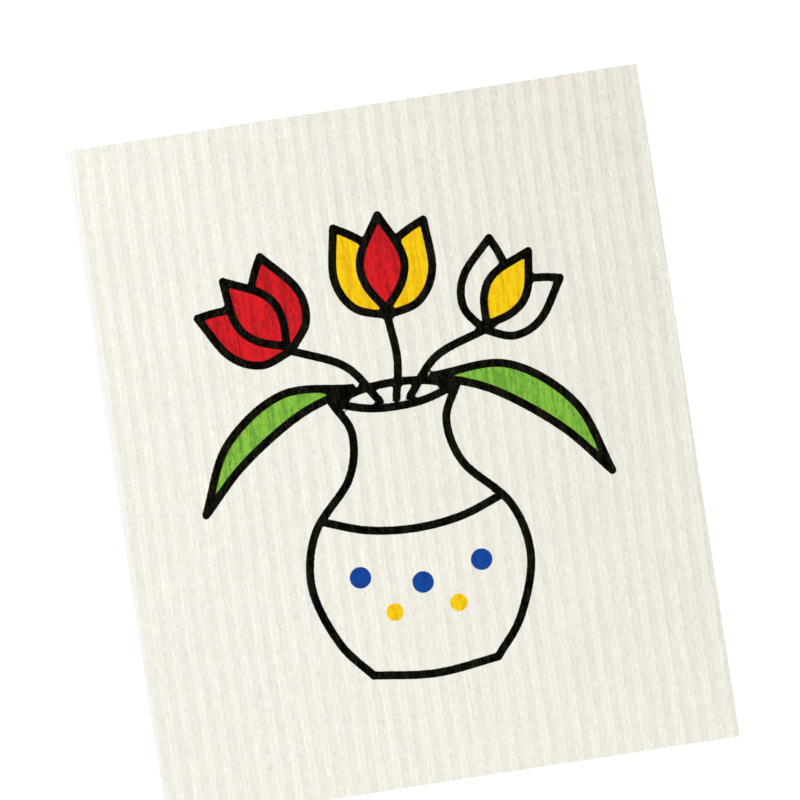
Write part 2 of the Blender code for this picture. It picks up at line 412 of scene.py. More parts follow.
@dataclass(frozen=True)
class TulipPrint:
    """The print: a vase of three tulips, drawn on a board in millimetres from its middle."""

    side_margin: float = 24.0
    end_margin: float = 32.0
    board_width: float = 122.0
    board_height: float = 136.0
    line_width: float = 2.45
    curve_step: float = 1.0
    spot_corners: int = 40
    blue_spot: float = 3.2
    yellow_spot: float = 2.6
    leaf_near: Point = (0.3, 0.9)
    leaf_far: Point = (0.68, 0.85)
    reach: float = 3.0

    def scale(self, width: float, length: float) -> float:
        """Return the print's size on a cloth of a given width and length, against the board."""
        free = (width - 2 * self.side_margin) / self.board_width
        return min(free, (length - 2 * self.end_margin) / self.board_height)

    def smooth_run(self, points: Sequence[Point]) -> Path:
        """Draw a smooth curve.

        Args:
            points: The points that it goes through.

        Returns:
            Points along the curve, a curve step apart.
        """
        knots = [np.array(point, float) for point in points]
        padded = [2 * knots[0] - knots[1], *knots, 2 * knots[-1] - knots[-2]]
        run = [knots[0]]
        for before, start, end, after in zip(padded, padded[1:], padded[2:], padded[3:]):
            steps = max(2, round(float(np.hypot(*(end - start))) / self.curve_step))
            out, back = start + (end - before) / 6, end - (after - start) / 6
            for i in range(1, steps + 1):
                t = i / steps
                run.append((1 - t) ** 3 * start + 3 * t * (1 - t) ** 2 * out
                           + 3 * t * t * (1 - t) * back + t**3 * end)
        return [(float(p[0]), float(p[1])) for p in run]

    def spot(self, centre: Point, radius: float) -> Path:
        """Return the outline of a round spot.

        Args:
            centre: Its middle, on the board.
            radius: Its radius, on the board.

        Returns:
            The outline's corners, evenly spaced.
        """
        turns = np.linspace(0, 2 * math.pi, self.spot_corners, endpoint=False)
        return [(centre[0] + radius * math.cos(turn), centre[1] + radius * math.sin(turn))
                for turn in turns]

    def vase(self) -> Drawing:
        """Draw the vase: its sides, foot, lip and belly line, and the spots on it.

        Returns:
            Its black lines, and the spots with their inks.
        """
        side = [(-18.5, 15), (-14, 5), (-17, -8), (-29, -22), (-32.5, -38), (-27, -55),
                (-18.5, -66)]
        foot = [(-18.5, -66), (0, -68), (18.5, -66)]
        front_lip = [(-18.5, 15), (-9, 12), (0, 11.2), (9, 12), (18.5, 15)]
        back_lip = [(-18.5, 15), (-9, 17.6), (0, 18.3), (9, 17.6), (18.5, 15)]
        belly_line = [(-27, -19), (-14, -23.5), (0, -25), (14, -23.5), (27, -19)]
        runs = (side, mirrored(side), foot, front_lip, back_lip, belly_line)
        lines = [self.smooth_run(run) for run in runs]
        blue_spots, yellow_spots = ((-18, -37), (0, -41), (18, -37)), ((-9.5, -48.5), (9.5, -48.5))
        fields = [(Ink.BLUE, self.spot(centre, self.blue_spot)) for centre in blue_spots]
        fields += [(Ink.YELLOW, self.spot(centre, self.yellow_spot)) for centre in yellow_spots]
        return lines, fields

    def tulip(self, base: Point, lean: float, size: float, petals: Ink | None,
              heart: Ink) -> Drawing:
        """Draw a tulip: a pointed heart petal between two side petals.

        Args:
            base: The top of its stem.
            lean: Its lean to the left, in degrees.
            size: Its height.
            petals: The side petals' ink, or None for bare cloth.
            heart: The heart petal's ink.

        Returns:
            Its black lines, and its colour fields with their inks.
        """
        heart_edge = [(0, 0.06), (-0.19, 0.34), (-0.21, 0.62), (0, 1.02)]
        outer_edge = [(0, 0), (-0.33, 0.11), (-0.5, 0.42), (-0.46, 0.93)]
        inner_edge = [(-0.46, 0.93), (-0.32, 0.86), (-0.16, 0.76)]
        behind_heart = [(0, 0.3)]
        cos, sin = math.cos(math.radians(lean)), math.sin(math.radians(lean))

        def placed(points: Sequence[Point]) -> Path:
            """Set points of the upright flower, one unit tall, on its stem."""
            return [(base[0] + size * (x * cos - y * sin), base[1] + size * (x * sin + y * cos))
                    for x, y in points]

        heart_run = self.smooth_run(placed(heart_edge))
        heart_run += self.smooth_run(placed(mirrored(heart_edge)[::-1]))[1:]
        lines, fields = [heart_run], [(heart, heart_run)]
        for outer, inner in ((outer_edge, inner_edge),
                             (mirrored(outer_edge), mirrored(inner_edge))):
            outer_run, inner_run = self.smooth_run(placed(outer)), self.smooth_run(placed(inner))
            lines += [outer_run, inner_run]
            fields.append((petals, outer_run + inner_run[1:] + placed(behind_heart)))
        return lines, fields

    def leaf(self, root: Point, tip: Point, bow: float, fullness: float) -> Drawing:
        """Draw a drooping leaf.

        Args:
            root: Where it leaves the vase.
            tip: Its point.
            bow: How far its middle stands off the straight line from root to tip.
            fullness: Half its width.

        Returns:
            Its two black edges, and its green field.
        """
        start, along = Vector(root), Vector(tip) - Vector(root)
        across = Vector((-along.y, along.x)).normalized() * (1 if bow > 0 else -1)
        edges = []
        for rise in (abs(bow) + fullness, abs(bow) - fullness):
            near, far = (tuple(start + way * along + share * rise * across)
                         for way, share in (self.leaf_near, self.leaf_far))
            edges.append(self.smooth_run([root, near, far, tip]))
        return edges, [(Ink.GREEN, edges[0] + edges[1][::-1])]

    def drawing(self) -> Drawing:
        """Draw the whole print and return its black lines and its colour fields.

        Returns:
            Its black lines, and its colour fields with their inks.
        """
        lines, fields = self.vase()
        motifs = (
            self.tulip((-28, 32), 36, 28, Ink.RED, Ink.RED),
            self.tulip((1.5, 38), -3, 29, Ink.YELLOW, Ink.RED),
            self.tulip((29, 29.5), -38, 26, None, Ink.YELLOW),
            self.leaf((-12, 18.5), (-60, -12), -9, 4.4),
            self.leaf((12, 18.5), (60, -17), 10, 4.8),
        )
        stems = (
            [(-4.5, 13.5), (-13, 25), (-28, 32)],
            [(0.5, 13.5), (2.5, 25), (1.5, 38)],
            [(4.5, 13.5), (14, 24), (29, 29.5)],
        )
        for motif_lines, motif_fields in motifs:
            lines += motif_lines
            fields += motif_fields
        return lines + [self.smooth_run(stem) for stem in stems], fields

    def distance(self, x: Array, y: Array, path: Path, scale: float) -> Array:
        """Measure how far places are from a path.

        Args:
            x: Places across the cloth.
            y: Places along the cloth.
            path: The path, on the board.
            scale: The print's scale.

        Returns:
            The distances, none more than the reach that is worth measuring.
        """
        run = np.array(path) * scale
        low, high = run.min(axis=0) - self.reach, run.max(axis=0) + self.reach
        near = (x > low[0]) & (x < high[0]) & (y > low[1]) & (y < high[1])
        px, py = x[near], y[near]
        nearest = np.full(px.shape, self.reach)
        for (ax, ay), (bx, by) in zip(run, run[1:]):
            span_x, span_y = bx - ax, by - ay
            if span_x == span_y == 0:
                continue
            share = ((px - ax) * span_x + (py - ay) * span_y) / (span_x**2 + span_y**2)
            share = np.clip(share, 0, 1)
            gap = np.hypot(px - ax - share * span_x, py - ay - share * span_y)
            np.minimum(nearest, gap, out=nearest)
        distances = np.full(x.shape, self.reach)
        distances[near] = nearest
        return distances

    def inside(self, x: Array, y: Array, outline: Path, scale: float) -> Array:
        """Tell which places are inside an outline of the board.

        Args:
            x: Places across the cloth.
            y: Places along the cloth.
            outline: The outline, on the board.
            scale: The print's scale.

        Returns:
            True for each place inside.
        """
        run = np.array(outline) * scale
        odd = np.zeros(x.shape, bool)
        for (ax, ay), (bx, by) in zip(run, np.roll(run, -1, axis=0)):
            if ay != by:
                crossed = (ay > y) != (by > y)
                odd ^= crossed & (x < ax + (y - ay) * (bx - ax) / (by - ay))
        return odd

    def ink_depths(self, x: Array, y: Array, scale: float) -> dict[Ink, Array]:
        """Measure how deep inside each ink places are.

        Args:
            x: Places across the cloth.
            y: Places along the cloth.
            scale: The print's scale.

        Returns:
            For each ink, the distance in from its edge, less than 0 outside it.
        """
        lines, fields = self.drawing()
        depths = {ink: np.full(x.shape, -self.reach) for ink in Ink}
        for line in lines:
            depth = self.line_width / 2 - self.distance(x, y, line, scale)
            np.maximum(depths[Ink.BLACK], depth, out=depths[Ink.BLACK])
        for ink, outline in fields:
            if ink is not None:
                gap = self.distance(x, y, outline + outline[:1], scale)
                depth = np.where(self.inside(x, y, outline, scale), gap, -gap)
                np.maximum(depths[ink], depth, out=depths[ink])
        return depths


@dataclass(frozen=True)
class ClothSurface:
    """The signals of the cloth's surface, its patterns each from about -1 to 1.

    Attributes:
        crest: 1 on the ribs' crests and 0 in the grooves.
        rim: 1 along a crest's two rims, where the painted highlights go.
        hollow: 1 at the bottom of a groove.
        side: 1 on a rib's right slope and -1 on its left one.
        far: 1 towards the cloth's right side and 0 towards its left.
    """

    crest: Signal
    rim: Signal
    hollow: Signal
    side: Signal
    far: Signal
    strands: Signal
    dashes: Signal
    streaks: Signal
    mottle: Signal
    speckle: Signal
    drift: Signal
    cast: Signal


@dataclass(frozen=True)
class SpongeClothFinish:
    """Undyed sponge cloth: soft crests, greyer grooves, fibre streaks, pores and inks, with
    painted light and shade on the ribs, painted shade at the cut edges and a painted glare along
    the left edge.
    """

    crest: Colour = srgb(243, 240, 229)
    groove: Colour = srgb(239, 237, 225)
    rosy: Colour = srgb(239, 227, 219)
    lilac: Colour = srgb(243, 240, 238)
    olive: Colour = srgb(236, 236, 218)
    pore: Colour = srgb(186, 182, 168)
    # Painted shade where the grooves meet the cut edges
    cut: Colour = srgb(226, 223, 213)
    # Painted glare: a near-white wash along the left edge
    painted_glare: Colour = srgb(248, 247, 243)
    cloth_roughness: float = 0.95
    ink_roughness: float = 0.8
    specular: float = 0.01
    bump_height_m: float = 0.00008

    # Patterns all over the cloth
    ragged: Pattern = Pattern((1.8, 0.75, 1.0))
    strands: Pattern = Pattern((1.3, 0.11, 1.0), tone=0.012, pooling=0.5)
    dashes: Pattern = Pattern((1.5, 0.6, 1.0), tone=0.1, pooling=0.4)
    streaks: Pattern = Pattern((1.1, 0.09, 1.0), tone=0.016, pooling=0.8, bump=0.5)
    mottle: Pattern = Pattern((1.0, 0.5, 1.0), 1.0, tone=0.08, pooling=0.8, bump=0.5)
    speckle: Pattern = Pattern((2.0, 1.6, 2.0), 1.0, 0.6, tone=0.035, bump=0.4)
    drift: Pattern = Pattern((0.28, 0.05, 1.0), tone=0.036)
    cast: Pattern = Pattern((0.025, 0.05, 1.0), 1.0, tone=0.02)
    strand_bend: Pattern = Pattern((0.35, 0.35, 0.35))
    bend_mm: Triple = (0.4, 2.0, 0.0)

    # Patterns that show as marks
    even_patches: Pattern = Pattern((0.25, 0.09, 1.0), levels=(0.1, 0.6), share=0.55)
    olive_patches: Pattern = Pattern((0.33, 0.15, 1.3), 1.0, levels=(-0.2, 0.55), share=0.45)
    lilac_patches: Pattern = Pattern((0.3, 0.15, 1.1), 1.0, levels=(-0.2, 0.55))
    rosy_patches: Pattern = Pattern((0.8, 0.26, 1.0), 1.0, levels=(-0.2, 0.55))
    light_ticks: Pattern = Pattern((2.0, 0.7, 1.3), 2.0, 0.6, levels=(0.26, 0.45), share=0.07)
    dark_ticks: Pattern = Pattern((2.0, 0.9, 1.0), 2.0, 0.6, levels=(0.26, 0.42), share=0.15)
    pores: Pattern = Pattern((1.7, 1.2, 1.0), 2.0, 0.6, levels=(0.38, 0.54), share=0.34)
    ink_flecks: Pattern = Pattern((1.9, 1.5, 1.0), 3.0, 0.65, levels=(0.16, 0.42))
    ink_fray: Pattern = Pattern((2.6, 1.1, 1.0), 3.0, 0.6, share=0.15)

    # Crests, rims and grooves, with painted highlights on the rims and painted light and shade on
    # the slopes
    crest_ragged: float = 0.46
    rim_ragged: float = 0.25
    crest_blur: float = 0.34
    right_slope: Span = (0.0, 0.6)
    right_slope_wider: float = 0.12
    right_slope_wider_far: float = 0.15
    rim_outside: Span = (-0.1, -0.45)
    rim_inside: Span = (-1.2, -0.8)
    hollow_levels: Span = (0.4, 1.0)
    even_crest: float = 0.5
    thread_levels: Span = (0.1, 0.5)
    # Painted highlights along both rims of each crest, the right rim brighter towards the cloth's
    # right side
    rim_plain: float = 0.9
    rim_highlight_far: float = 0.8
    rim_highlight_tone: float = 0.028
    hollow_tone: float = 0.003
    # Painted light on the slopes that face right and painted shade on those that face left, more
    # towards the cloth's right side
    slope_light_tone: float = 0.014
    slope_light_tone_far: float = 0.009
    crest_ticks: float = 0.5

    # Tints from side to side and from end to end
    far_side: Span = (-15.0, 45.0)
    lilac_side: Span = (40.0, -85.0)
    lilac_share: float = 0.22
    lilac_patch_side: Span = (50.0, -85.0)
    lilac_patch_least: float = 0.06
    lilac_patch_rise: float = 0.35
    olive_side: Span = (80.0, -40.0)
    rosy_side: Span = (-45.0, 30.0)
    rosy_end: Span = (0.0, 75.0)
    rosy_least: float = 0.1
    rosy_rise: float = 0.75
    groove_tint: float = 1.1
    crest_tint: float = 0.5

    # Painted shade at the cut edges, painted glare along the left side, and the inks
    edge_shade_share: float = 0.35
    edge_shade_less_on_crest: float = 0.25
    pale_share: float = 0.85
    pale_mottle: float = 0.6
    ink_edge: Span = (-0.09, 0.11)
    pool_levels: Span = (-0.45, 0.65)
    groove_pooling: float = 0.25
    pooling_middle: float = 0.5

    def dress(self, piece: bpy.types.Object) -> None:
        """Give a piece this finish."""
        piece.data.materials.clear()
        piece.data.materials.append(self.material())

    def material(self) -> bpy.types.Material:
        """Build the material from the mesh's relief and ink depths.

        Returns:
            The material.
        """
        board = Board(bpy.data.materials.new("ribbed_sponge_cloth"))
        place = board.millimetres()
        surface = self.surface(board, place)
        colour = self.cloth_colour(board, place, surface)
        covered: Signal | float = 0.0
        fray = board.noise(place, self.ink_fray) * self.ink_fray.share
        for ink in INK_FINISHES:
            cover = board.ramp(board.kept(ink.ink) + fray, self.ink_edge)
            colour = board.mix(cover, colour, self.ink_colour(board, ink, place, surface))
            covered = cover.larger(covered)

        rough = self.cloth_roughness - covered * (self.cloth_roughness - self.ink_roughness)
        height = (surface.streaks * self.streaks.bump + surface.mottle * self.mottle.bump
                  + surface.speckle * self.speckle.bump)
        normal = board.add("ShaderNodeBump", {}, {"Height": height, "Strength": 1.0,
                                                  "Distance": self.bump_height_m})
        return board.finish(board.add("ShaderNodeBsdfPrincipled", {}, {
            "Base Color": colour, "Roughness": rough, "Normal": normal,
            "Specular IOR Level": self.specular}))

    def surface(self, board: Board, place: Signal) -> ClothSurface:
        """Add the signals of the cloth's surface.

        Args:
            board: The material's node tree.
            place: Where, in millimetres.

        Returns:
            The signals.
        """
        bend = board.add("ShaderNodeTexNoise", {}, {
            "Vector": board.stretched(place, self.strand_bend.grains), "Scale": 1.0}, "Color")
        bent = board.add("ShaderNodeVectorMath", {"operation": "MULTIPLY_ADD"},
                         {0: bend, 1: self.bend_mm, 2: place})
        cells = board.strands(place, self.dashes)
        side = board.kept(Relief.RIB_SIDE)
        far = board.ramp(board.axis(place, "X"), self.far_side)
        wider = self.right_slope_wider + self.right_slope_wider_far * far
        slope = board.kept(Relief.BEYOND_CREST) + board.ramp(side, self.right_slope) * wider
        ragged = board.noise(place, self.ragged)
        rim = slope + ragged * self.rim_ragged
        return ClothSurface(
            crest=board.ramp(slope + ragged * self.crest_ragged,
                             (self.crest_blur, -self.crest_blur)),
            rim=board.ramp(rim, self.rim_outside) * board.ramp(rim, self.rim_inside),
            hollow=board.ramp(slope, self.hollow_levels),
            side=side,
            far=far,
            strands=board.strands(bent, self.strands),
            dashes=cells * cells * cells,
            streaks=board.noise(place, self.streaks),
            mottle=board.noise(place, self.mottle),
            speckle=board.noise(place, self.speckle),
            drift=board.noise(place, self.drift),
            cast=board.noise(place, self.cast))

    def tinted(self, board: Board, place: Signal, surface: ClothSurface) -> Signal:
        """Colour the crests and the grooves, with the faint tints that drift over them.

        Args:
            board: The material's node tree.
            place: Where, in millimetres.
            surface: The signals of the surface.

        Returns:
            The colour before its tone varies.
        """
        x, y = board.axis(place, "X"), board.axis(place, "Y")
        even = board.marks(place, self.even_patches)
        crest = surface.crest * (1.0 - even) + even * self.even_crest
        colour = board.mix(crest, self.groove, self.crest)
        colour = board.mix(board.ramp(x, self.lilac_side) * self.lilac_share, colour, self.lilac)
        groove = self.groove_tint - surface.crest
        corner = board.ramp(x, self.rosy_side) * board.ramp(y, self.rosy_end)
        lilac = self.lilac_patch_least + self.lilac_patch_rise * board.ramp(
            x, self.lilac_patch_side)
        tints = (
            (self.olive, self.olive_patches, groove * board.ramp(x, self.olive_side)),
            (self.lilac, self.lilac_patches, (self.crest_tint + surface.crest) * lilac),
            (self.rosy, self.rosy_patches, groove * (self.rosy_least + self.rosy_rise * corner)))
        for tint, patches, strength in tints:
            colour = board.mix(board.marks(place, patches) * strength, colour, tint)
        return colour

    def cloth_colour(self, board: Board, place: Signal, surface: ClothSurface) -> Signal:
        """Colour the bare cloth, with painted highlights on the crests' rims, painted light and
        shade on the slopes, painted shade at the cut edges and a painted glare along the left
        edge.

        Args:
            board: The material's node tree.
            place: Where, in millimetres.
            surface: The signals of the surface.

        Returns:
            The colour of unprinted cloth.
        """
        threads = board.ramp(surface.strands, self.thread_levels)
        # Painted highlights along the crests' rims
        rims = surface.rim * (self.rim_plain + threads + surface.side * surface.far * self.rim_highlight_far)
        # Painted light on right-facing slopes and painted shade on left-facing ones
        painted_slope_light = (1.0 - surface.crest) * surface.side
        tone = (1.0 + surface.strands * self.strands.tone + surface.dashes * self.dashes.tone
                + surface.streaks * self.streaks.tone + surface.mottle * self.mottle.tone
                + surface.speckle * self.speckle.tone + surface.drift * self.drift.tone
                + surface.cast * self.cast.tone + rims * self.rim_highlight_tone
                + surface.hollow * self.hollow_tone
                + painted_slope_light * (self.slope_light_tone + self.slope_light_tone_far * surface.far)
                + board.marks(place, self.light_ticks)
                - board.marks(place, self.dark_ticks) * (1.0 - self.crest_ticks * surface.crest))
        colour = board.scaled(self.tinted(board, place, surface), tone)
        colour = board.mix(board.marks(place, self.pores), colour, self.pore)
        # Painted shade along the cut edges, less on the crests
        edge_shade = self.edge_shade_share - self.edge_shade_less_on_crest * surface.crest
        cut = board.kept(Relief.CUT) * edge_shade * (1.0 + surface.mottle)
        colour = board.mix(cut, colour, self.cut)
        # Painted glare along the left edge, stronger towards +Y
        pale = board.kept(Relief.PALE) * (self.pale_share + self.pale_mottle * surface.mottle)
        return board.mix(pale, colour, self.painted_glare)

    def ink_colour(self, board: Board, ink: InkFinish, place: Signal,
                   surface: ClothSurface) -> Signal:
        """Colour one ink.

        Args:
            board: The material's node tree.
            ink: The ink's finish.
            place: Where, in millimetres.
            surface: The signals of the surface.

        Returns:
            The ink's colour, darker along the grooves and between the fibres.
        """
        pooled = (surface.strands * self.strands.pooling + surface.dashes * self.dashes.pooling
                  + surface.streaks * self.streaks.pooling
                  + surface.mottle * self.mottle.pooling
                  + (self.pooling_middle - surface.crest) * self.groove_pooling)
        streaks = board.ramp(pooled, self.pool_levels) * ink.streak_share
        colour = board.mix(streaks, ink.full, ink.streak)
        flecks = board.marks(place, self.ink_flecks) * ink.fleck_share
        return board.mix(flecks, colour, ink.fleck)


@dataclass(frozen=True)
class MapArea:
    """A part of the cloth's map, which is 1 wide and 1 high."""

    left: float
    bottom: float
    width: float
    height: float

    def laid(self, across: Array, up: Array) -> Array:
        """Lay places, from 0 to 1 each way, in this part of the map."""
        return np.column_stack([self.left + self.width * across, self.bottom + self.height * up])


@dataclass
class RibbedCloth:
    """The sheet of cloth: ribbed front, grooved back and die-cut edges, as one closed mesh."""

    width: float
    length: float
    thickness: float
    print_design: TulipPrint = field(default_factory=TulipPrint)
    finish: SpongeClothFinish = field(default_factory=SpongeClothFinish)
    rib_pitch: float = 4.92
    crest_width: float = 1.75
    slope_width: float = 1.0
    rib_depth: float = 0.18
    crest_sink: float = 0.05
    first_rib: float = 1.0
    back_groove: float = 1.5
    back_slope: float = 0.4
    back_depth: float = 0.2
    rib_lean: float = 0.0105
    rib_sway: float = 0.27
    sway_length: float = 112.0
    sway_peak: float = 15.0
    rib_wander: SmoothNoise = SmoothNoise(3, 9.0, 26.0, 0.14)
    crest_edge: SmoothNoise = SmoothNoise(5, 1.7, 5.5, 0.13)
    lumps: SmoothNoise = SmoothNoise(7, 1.3, 1.9, 0.035)
    fibres: SmoothNoise = SmoothNoise(11, 0.55, 5.0, 0.03)
    lift_wave: SmoothNoise = SmoothNoise(13, 70.0, 85.0, 0.5)
    corner_lift: float = 0.28
    row_pitch: float = 1.0
    back_row_pitch: float = 4.0
    rib_columns: tuple[float, ...] = (-2.0, -1.575, -1.275, -0.975, -0.45, 0.0, 0.45, 0.975,
                                      1.275, 1.575, 2.0, 2.46)
    back_columns: tuple[float, ...] = (-1.15, 0.0, 1.15, 2.46)
    lip_columns: tuple[float, ...] = (0.12, 0.3, 0.6)
    least_gap: float = 0.1
    edge_band: float = 9.0
    lip_width: float = 0.5
    lip_drop: float = 0.03
    wall_levels: int = 4
    wall_swell: float = 0.03
    wall_marks: SmoothNoise = SmoothNoise(17, 0.55, 1.1, 0.03)
    wall_marks_apart: float = 31.0
    on_edge: float = 0.01
    sharp_degrees: float = 50.0
    # Where the painted glare along the left edge lies
    pale_width: float = 3.2
    pale_near: float = 0.3
    pale_from: float = -0.45
    pale_rise: float = 0.7
    front_map: MapArea = MapArea(0.006, 0.006, 0.784, 0.924)
    back_map: MapArea = MapArea(0.806, 0.006, 0.188, 0.924)
    wall_map: MapArea = MapArea(0.006, 0.945, 0.988, 0.04)
    wall_map_reach: float = 1.2

    def ribs_across(self) -> int:
        """Return how many ribs start within the width."""
        return math.ceil((self.width - self.first_rib) / self.rib_pitch) + 1

    def columns(self, offsets: Sequence[float], lip: Sequence[float]) -> Array:
        """Place the mesh's columns so that they follow the ribs.

        Args:
            offsets: Where the columns of one rib are, from its middle.
            lip: Where the columns beside each cut edge are, from that edge.

        Returns:
            Places across the cloth, from edge to edge.
        """
        half = self.width / 2
        ribs = np.arange(-1, self.ribs_across()) * self.rib_pitch + self.first_rib - half
        inner = (ribs[:, None] + np.array(offsets)[None, :]).ravel()
        inner = inner[np.abs(inner) < half - max(lip) - self.least_gap]
        ends = np.array([0.0, *lip])
        return np.unique(np.concatenate([ends - half, inner, half - ends]))

    def rows(self, pitch: float, lip: Sequence[float]) -> Array:
        """Place the mesh's rows, closer beside the two cut ends.

        Args:
            pitch: The rows' pitch away from the ends.
            lip: Where the rows beside each cut end are, from that end.

        Returns:
            Places along the cloth, from end to end.
        """
        half = self.length / 2
        ends = np.array([0.0, *lip])
        count = round((self.length - 2 * max(lip)) / pitch)
        inner = np.linspace(-half + max(lip), half - max(lip), count + 1)[1:-1]
        return np.unique(np.concatenate([ends - half, inner, half - ends]))

    def rib_turn(self, x: Array, y: Array) -> Array:
        """Tell how many ribs in from the left places are: a whole number on a crest's middle."""
        place = x - (1 - self.free(x)) * self.rib_shift(x, y)
        return (place + self.width / 2 - self.first_rib) / self.rib_pitch

    def off_rib(self, x: Array, y: Array) -> Array:
        """Tell how far places are from the middle of the nearest rib."""
        turn = self.rib_turn(x, y)
        return np.abs(turn - np.round(turn)) * self.rib_pitch

    def beyond_crest(self, x: Array, y: Array) -> Array:
        """Tell how far places are from the middle of the nearest slope, less than 0 on crests."""
        half = (self.crest_width + self.slope_width) / 2 + self.crest_edge(x, y)
        return self.off_rib(x, y) - half

    def relief(self, x: Array, y: Array) -> Array:
        """Tell how far up the ribs places are: 1 on a crest and 0 in a groove."""
        return eased(0.5 - self.beyond_crest(x, y) / self.slope_width)

    def back_relief(self, x: Array, y: Array) -> Array:
        """Tell how deep in the back's grooves places are: 1 at the bottom and 0 on a land."""
        off = self.rib_pitch / 2 - self.off_rib(x, y)
        return eased((self.back_groove / 2 + self.back_slope - off) / self.back_slope)

    def rib_shift(self, x: Array, y: Array) -> Array:
        """Tell how far the ribs stand aside at places, as they lean, sway and wander."""
        sway = self.rib_sway * np.cos(2 * math.pi * (y - self.sway_peak) / self.sway_length)
        return self.rib_lean * y + sway + self.rib_wander(x, y)

    def free(self, x: Array) -> Array:
        """Tell how free the mesh is to follow the ribs aside: 0 at the side edges."""
        return eased((self.width / 2 - np.abs(x)) / self.edge_band)

    def sideways(self, x: Array, y: Array) -> Array:
        """Tell how far the mesh's columns move aside with the ribs."""
        return self.free(x) * self.rib_shift(x, y)

    def inward(self, x: Array, y: Array) -> Array:
        """Tell how far in from the nearest cut edge places are."""
        return np.minimum(self.width / 2 - np.abs(x), self.length / 2 - np.abs(y))

    def shares(self, x: Array, y: Array) -> tuple[Array, Array]:
        """Tell how far across and along the cloth places are, from 0 to 1."""
        return x / self.width + 0.5, y / self.length + 0.5

    def lift(self, x: Array, y: Array) -> Array:
        """Tell how far the sheet lifts off the floor as it lies, most towards its corners."""
        rim = np.maximum(np.abs(x) / self.width, np.abs(y) / self.length) * 2
        return self.corner_lift * (0.5 + self.lift_wave(x, y)) * eased(rim)

    def front_height(self, x: Array, y: Array) -> Array:
        """Return the height of the printed front.

        Args:
            x: Places across the cloth.
            y: Places along the cloth.

        Returns:
            The height above the floor at each place.
        """
        drop = self.rib_depth * (1 - self.relief(x, y))
        drop = drop + self.lip_drop * (1 - eased(self.inward(x, y) / self.lip_width))
        rough = self.lumps(x, y) + self.fibres(x, y)
        return self.thickness - self.crest_sink - drop + rough + self.lift(x, y)

    def back_height(self, x: Array, y: Array) -> Array:
        """Return the height of the back."""
        return self.back_depth * self.back_relief(x, y) + self.lift(x, y)

    def rim(self, columns: int, rows: int) -> Array:
        """List a grid's rim, anticlockwise from its first corner, as indices into the grid."""
        grid = np.arange(columns * rows).reshape(rows, columns)
        return np.concatenate([grid[0, :-1], grid[:-1, -1], grid[-1, :0:-1], grid[:0:-1, 0]])

    def rim_turn(self, x: Array, y: Array) -> Array:
        """Tell how far round the rim its points are: a whole number at each corner.

        Args:
            x: The points' places across the cloth.
            y: The points' places along the cloth.

        Returns:
            How far round each point is, from 0 up to 4.
        """
        across, along = self.shares(x, y)
        near, right = np.isclose(along, 0), np.isclose(across, 1)
        far = np.isclose(along, 1)
        turn = np.where(far, 3 - across, 4 - along)
        turn = np.where(right & ~far, 1 + along, turn)
        return np.where(near & ~right, across, turn)

    def build(self) -> bpy.types.Object:
        """Build the cloth's mesh with its relief, its ink depths and its map, and dress it.

        Returns:
            The cloth.
        """
        lip, back_lip = self.lip_columns, self.lip_columns[-1:]
        xs, ys = self.columns(self.rib_columns, lip), self.rows(self.row_pitch, lip)
        back_xs = self.columns(self.back_columns, back_lip)
        back_ys = self.rows(self.back_row_pitch, back_lip)
        x, y = (axis.ravel() for axis in np.meshgrid(xs, ys))
        back_x, back_y = (axis.ravel() for axis in np.meshgrid(back_xs, back_ys))
        front = np.column_stack([x + self.sideways(x, y), y, self.front_height(x, y)])
        back = np.column_stack([back_x + self.sideways(back_x, back_y), back_y,
                                self.back_height(back_x, back_y)])

        rim = self.rim(len(xs), len(ys))
        walls = self.walls(front[rim])
        points = np.concatenate([front, *walls, back])
        back_start = len(points) - len(back)
        loops = [rim, *(len(front) + len(rim) * level + np.arange(len(rim))
                        for level in range(len(walls)))]
        back_rim = back_start + self.rim(len(back_xs), len(back_ys))
        beyond, side = np.zeros(len(points)), np.zeros(len(points))
        beyond[:len(front)] = self.beyond_crest(x, y)
        beyond[back_start:] = self.back_relief(back_x, back_y) - 0.5
        side[:len(front)] = np.sin(2 * math.pi * self.rib_turn(x, y))

        front_faces = self.grid_faces(len(xs), len(ys), 0)
        back_faces = self.grid_faces(len(back_xs), len(back_ys), back_start)[:, ::-1]
        wall_faces = self.wall_faces(loops, back_rim, points)
        faces = [*front_faces.tolist(), *back_faces.tolist(), *wall_faces]
        mesh = bpy.data.meshes.new("printed_ribbed_cloth")
        mesh.from_pydata((points * MM).tolist(), [], faces)
        mesh.shade_smooth()
        mesh.set_sharp_from_angle(angle=math.radians(self.sharp_degrees))
        ribs = {Relief.BEYOND_CREST: beyond, Relief.RIB_SIDE: side}
        self.keep_numbers(mesh, points, ribs, len(front))
        self.add_map(mesh, points, len(front_faces), len(back_faces))
        piece = in_scene("printed_ribbed_cloth", mesh)
        self.finish.dress(piece)
        return piece

    @staticmethod
    def grid_faces(columns: int, rows: int, first: int) -> Array:
        """List the four-sided faces of a grid whose points start at a given index.

        Args:
            columns: How many columns of points it has.
            rows: How many rows.
            first: The index of its first point.

        Returns:
            Four indices for each face, facing up.
        """
        grid = first + np.arange(columns * rows).reshape(rows, columns)
        corners = (grid[:-1, :-1], grid[:-1, 1:], grid[1:, 1:], grid[1:, :-1])
        return np.column_stack([corner.ravel() for corner in corners])

